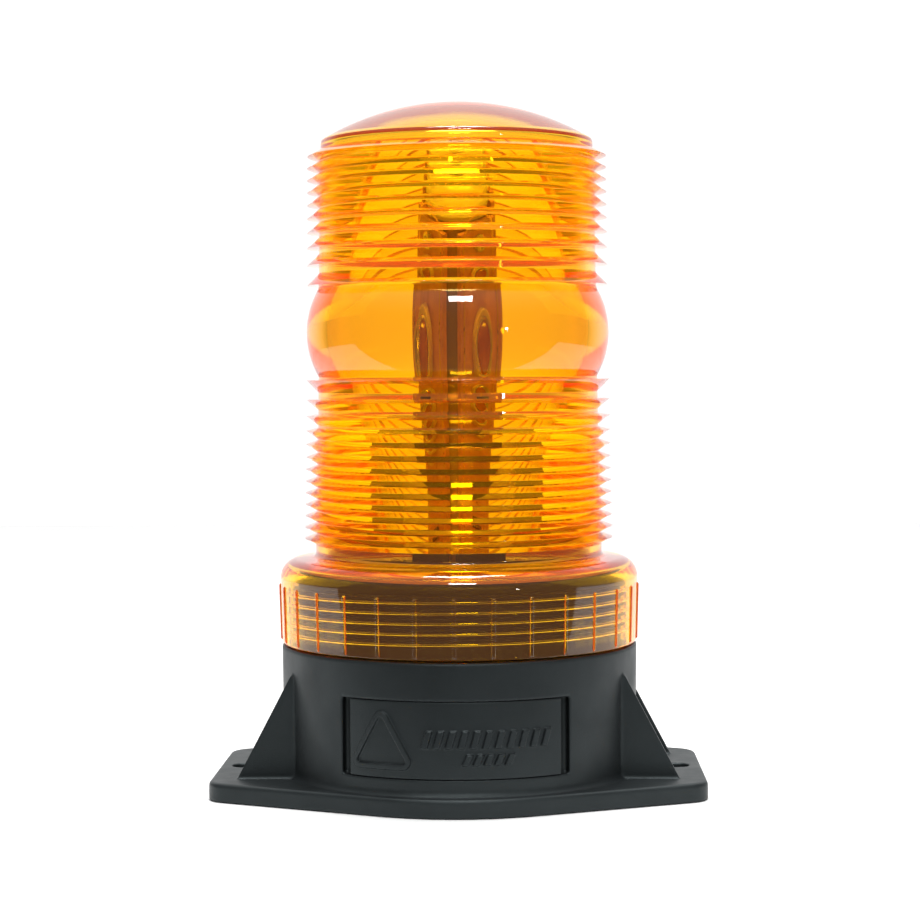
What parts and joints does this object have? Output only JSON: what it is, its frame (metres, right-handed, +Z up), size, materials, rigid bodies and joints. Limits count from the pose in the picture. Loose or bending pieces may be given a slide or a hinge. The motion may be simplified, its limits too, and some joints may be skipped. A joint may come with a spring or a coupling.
{
  "type": "warning beacon light",
  "caption": "Amber beacon: ringed screw-on lens over an LED tower, on a round black base with two slotted bolt ears braced by gussets.",
  "frame": {"origin": "centre of the flange's underside, where the beacon stands", "axes": "+Z up the lens axis, X from ear to ear, label panel facing -Y"},
  "size_m": [0.116, 0.089, 0.164],
  "materials": {
    "amber_lens": "clear tinted, glossy",
    "black_plastic": "fine satin texture",
    "silicone": "satin",
    "black_rubber": "matt",
    "steel": "bright zinc plated",
    "aluminium": "satin",
    "laminate_board": "satin solder mask",
    "green_board": "satin solder mask",
    "emitter": "clear resin",
    "black_part": "moulded",
    "grey_plastic": "satin",
    "copper": "enamelled wire",
    "green_plastic": "satin",
    "white_plastic": "satin",
    "red_wire": "insulation",
    "black_wire": "insulation"
  },
  "bodies": {
    "base": {"base_housing": "black_plastic", "label_insert": "black_plastic", "bottom_cover": "black_plastic", "cable_grommet": "black_rubber", "driver_board": "green_board", "capacitor_large": "black_part", "capacitor_small": "black_part", "inductor": "copper", "transistor": "black_part", "controller_chip": "black_part", "supply_terminal": "green_plastic", "led_header": "white_plastic", "led_lead_plus": "red_wire", "led_lead_minus": "black_wire", "tower_foot": "black_part", "tower_core": "aluminium", "tower_cap": "grey_plastic", "deck_reflector": "white_plastic", "cap_screw": "steel", "cover_screw_1": "steel", "driver_screw_1": "steel", "cover_screw_2": "steel", "driver_screw_2": "steel", "cover_screw_3": "steel", "driver_screw_3": "steel", "foot_screw_1": "steel", "led_board_1": "laminate_board", "led_1": "emitter", "resistor_1": "black_part", "foot_screw_2": "steel", "led_board_2": "laminate_board", "led_2": "emitter", "resistor_2": "black_part", "foot_screw_3": "steel", "led_board_3": "laminate_board", "led_3": "emitter", "resistor_3": "black_part", "foot_screw_4": "steel", "led_board_4": "laminate_board", "led_4": "emitter", "resistor_4": "black_part", "led_screw_1": "steel", "led_screw_2": "steel", "led_screw_3": "steel", "led_screw_4": "steel", "led_screw_5": "steel", "led_screw_6": "steel", "led_screw_7": "steel", "led_screw_8": "steel"},
    "seal": {"lens_gasket": "silicone"},
    "lens": {"lens": "amber_lens"}
  },
  "joints": [
    {"name": "lens_lift", "type": "slide", "parent": "base", "child": "seal", "axis": [0, 0, 1], "range_m": [0, 0.01176]},
    {"name": "lens_turn", "type": "hinge", "parent": "seal", "child": "lens", "pos_m": [0, 0, 0], "axis": [0, 0, 1], "range_deg": [0, 1800]}
  ],
  "couplings": [
    {"joint": "lens_lift", "follows": "lens_turn", "m_per_rad": 0.00037401}
  ]
}
